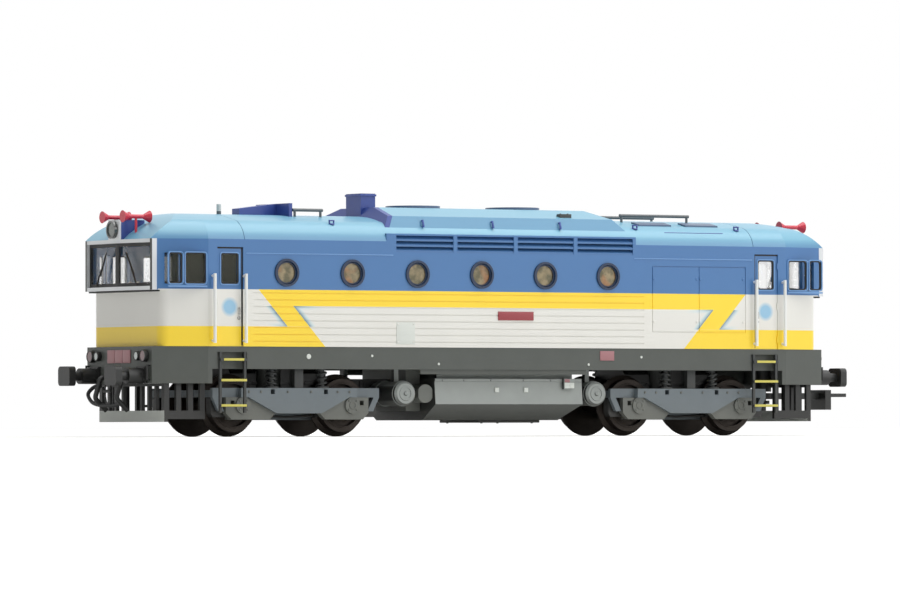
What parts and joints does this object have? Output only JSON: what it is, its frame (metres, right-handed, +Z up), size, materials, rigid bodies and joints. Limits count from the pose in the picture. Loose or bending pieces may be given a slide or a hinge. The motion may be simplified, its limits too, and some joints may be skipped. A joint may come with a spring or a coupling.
{
  "type": "scale model diesel locomotive",
  "caption": "Scale model of a four-axle diesel locomotive with goggle windscreens, round portholes, louvred roof, swivelling bogies and a loop coupler.",
  "frame": {"origin": "middle of the length and width, at the level of the wheel flanges", "axes": "+X along the length away from the shown end, +Y across, +Z up"},
  "size_m": [0.1962, 0.0372, 0.053],
  "materials": {
    "body_paint": "satin",
    "roof_paint": "satin",
    "rim_paint": "satin",
    "frame_grey": "matte",
    "bogie_grey": "matte",
    "gear_grey": "matte",
    "tank_grey": "matte",
    "black_plastic": "matte",
    "dark_blue": "satin",
    "glazing": "clear",
    "porthole_glass": "clear",
    "lamp_glass": "clear",
    "white_wire": "satin",
    "wire_grey": "satin",
    "horn_red": "satin",
    "die_cast": "matte",
    "interior_grey": "matte",
    "wheel_steel": "satin"
  },
  "bodies": {
    "body": {"air_reservoirs": "tank_grey", "brake_pipes": "black_plastic", "buffer_beam_lamps": "lamp_glass", "buffers": "black_plastic", "cab_glazing": "glazing", "cab_interior_front": "interior_grey", "cab_interior_rear": "interior_grey", "cab_roof_front": "roof_paint", "cab_roof_rear": "roof_paint", "cab_side_front_far": "body_paint", "cab_side_front_near": "body_paint", "cab_side_rear_far": "body_paint", "cab_side_rear_near": "body_paint", "cooler_hood": "roof_paint", "coupler_post": "black_plastic", "draw_hooks": "black_plastic", "end_block_front": "frame_grey", "end_block_rear": "frame_grey", "exhaust_stack": "dark_blue", "frame_deck": "frame_grey", "fuel_tank": "tank_grey", "goggle_front": "rim_paint", "goggle_rear": "rim_paint", "handrails": "white_wire", "horns": "horn_red", "louvre_slats": "roof_paint", "motor_block": "die_cast", "nose_front": "body_paint", "nose_rear": "body_paint", "plough_front": "black_plastic", "plough_rear": "black_plastic", "porthole_glazing": "porthole_glass", "porthole_rims": "black_plastic", "roof_middle": "roof_paint", "roof_rails": "wire_grey", "roof_scoop": "dark_blue", "roof_vents": "dark_blue", "side_wall_far": "body_paint", "side_wall_near": "body_paint", "steps": "black_plastic", "top_headlights": "roof_paint", "underfloor_equipment": "black_plastic", "windscreen_surrounds": "black_plastic", "windscreens": "glazing"},
    "bogie_front": {"axle_boxes_front": "gear_grey", "bogie_frame_front": "bogie_grey", "springs_front": "black_plastic"},
    "bogie_rear": {"axle_boxes_rear": "gear_grey", "bogie_frame_rear": "bogie_grey", "springs_rear": "black_plastic"},
    "coupler_rear": {"coupler": "black_plastic"},
    "wheelset_1": {"wheelset_1": "wheel_steel"},
    "wheelset_2": {"wheelset_2": "wheel_steel"},
    "wheelset_3": {"wheelset_3": "wheel_steel"},
    "wheelset_4": {"wheelset_4": "wheel_steel"}
  },
  "joints": [
    {"name": "bogie_front_swivel", "type": "hinge", "parent": "body", "child": "bogie_front", "pos_m": [-0.051, 0, 0.01], "axis": [0, 0, 1], "range_deg": [-7, 7]},
    {"name": "bogie_rear_swivel", "type": "hinge", "parent": "body", "child": "bogie_rear", "pos_m": [0.051, 0, 0.01], "axis": [0, 0, -1], "range_deg": [-7, 7]},
    {"name": "coupler_swing", "type": "hinge", "parent": "body", "child": "coupler_rear", "pos_m": [0.0805, 0, 0.0089], "axis": [0, 0, -1], "range_deg": [-12, 12]},
    {"name": "wheelset_1_spin", "type": "hinge", "parent": "bogie_front", "child": "wheelset_1", "pos_m": [-0.0647, 0, 0.00675], "axis": [0, 1, 0], "continuous": true},
    {"name": "wheelset_2_spin", "type": "hinge", "parent": "bogie_front", "child": "wheelset_2", "pos_m": [-0.0373, 0, 0.00675], "axis": [0, 1, 0], "continuous": true},
    {"name": "wheelset_3_spin", "type": "hinge", "parent": "bogie_rear", "child": "wheelset_3", "pos_m": [0.0373, 0, 0.00675], "axis": [0, 1, 0], "continuous": true},
    {"name": "wheelset_4_spin", "type": "hinge", "parent": "bogie_rear", "child": "wheelset_4", "pos_m": [0.0647, 0, 0.00675], "axis": [0, 1, 0], "continuous": true}
  ]
}
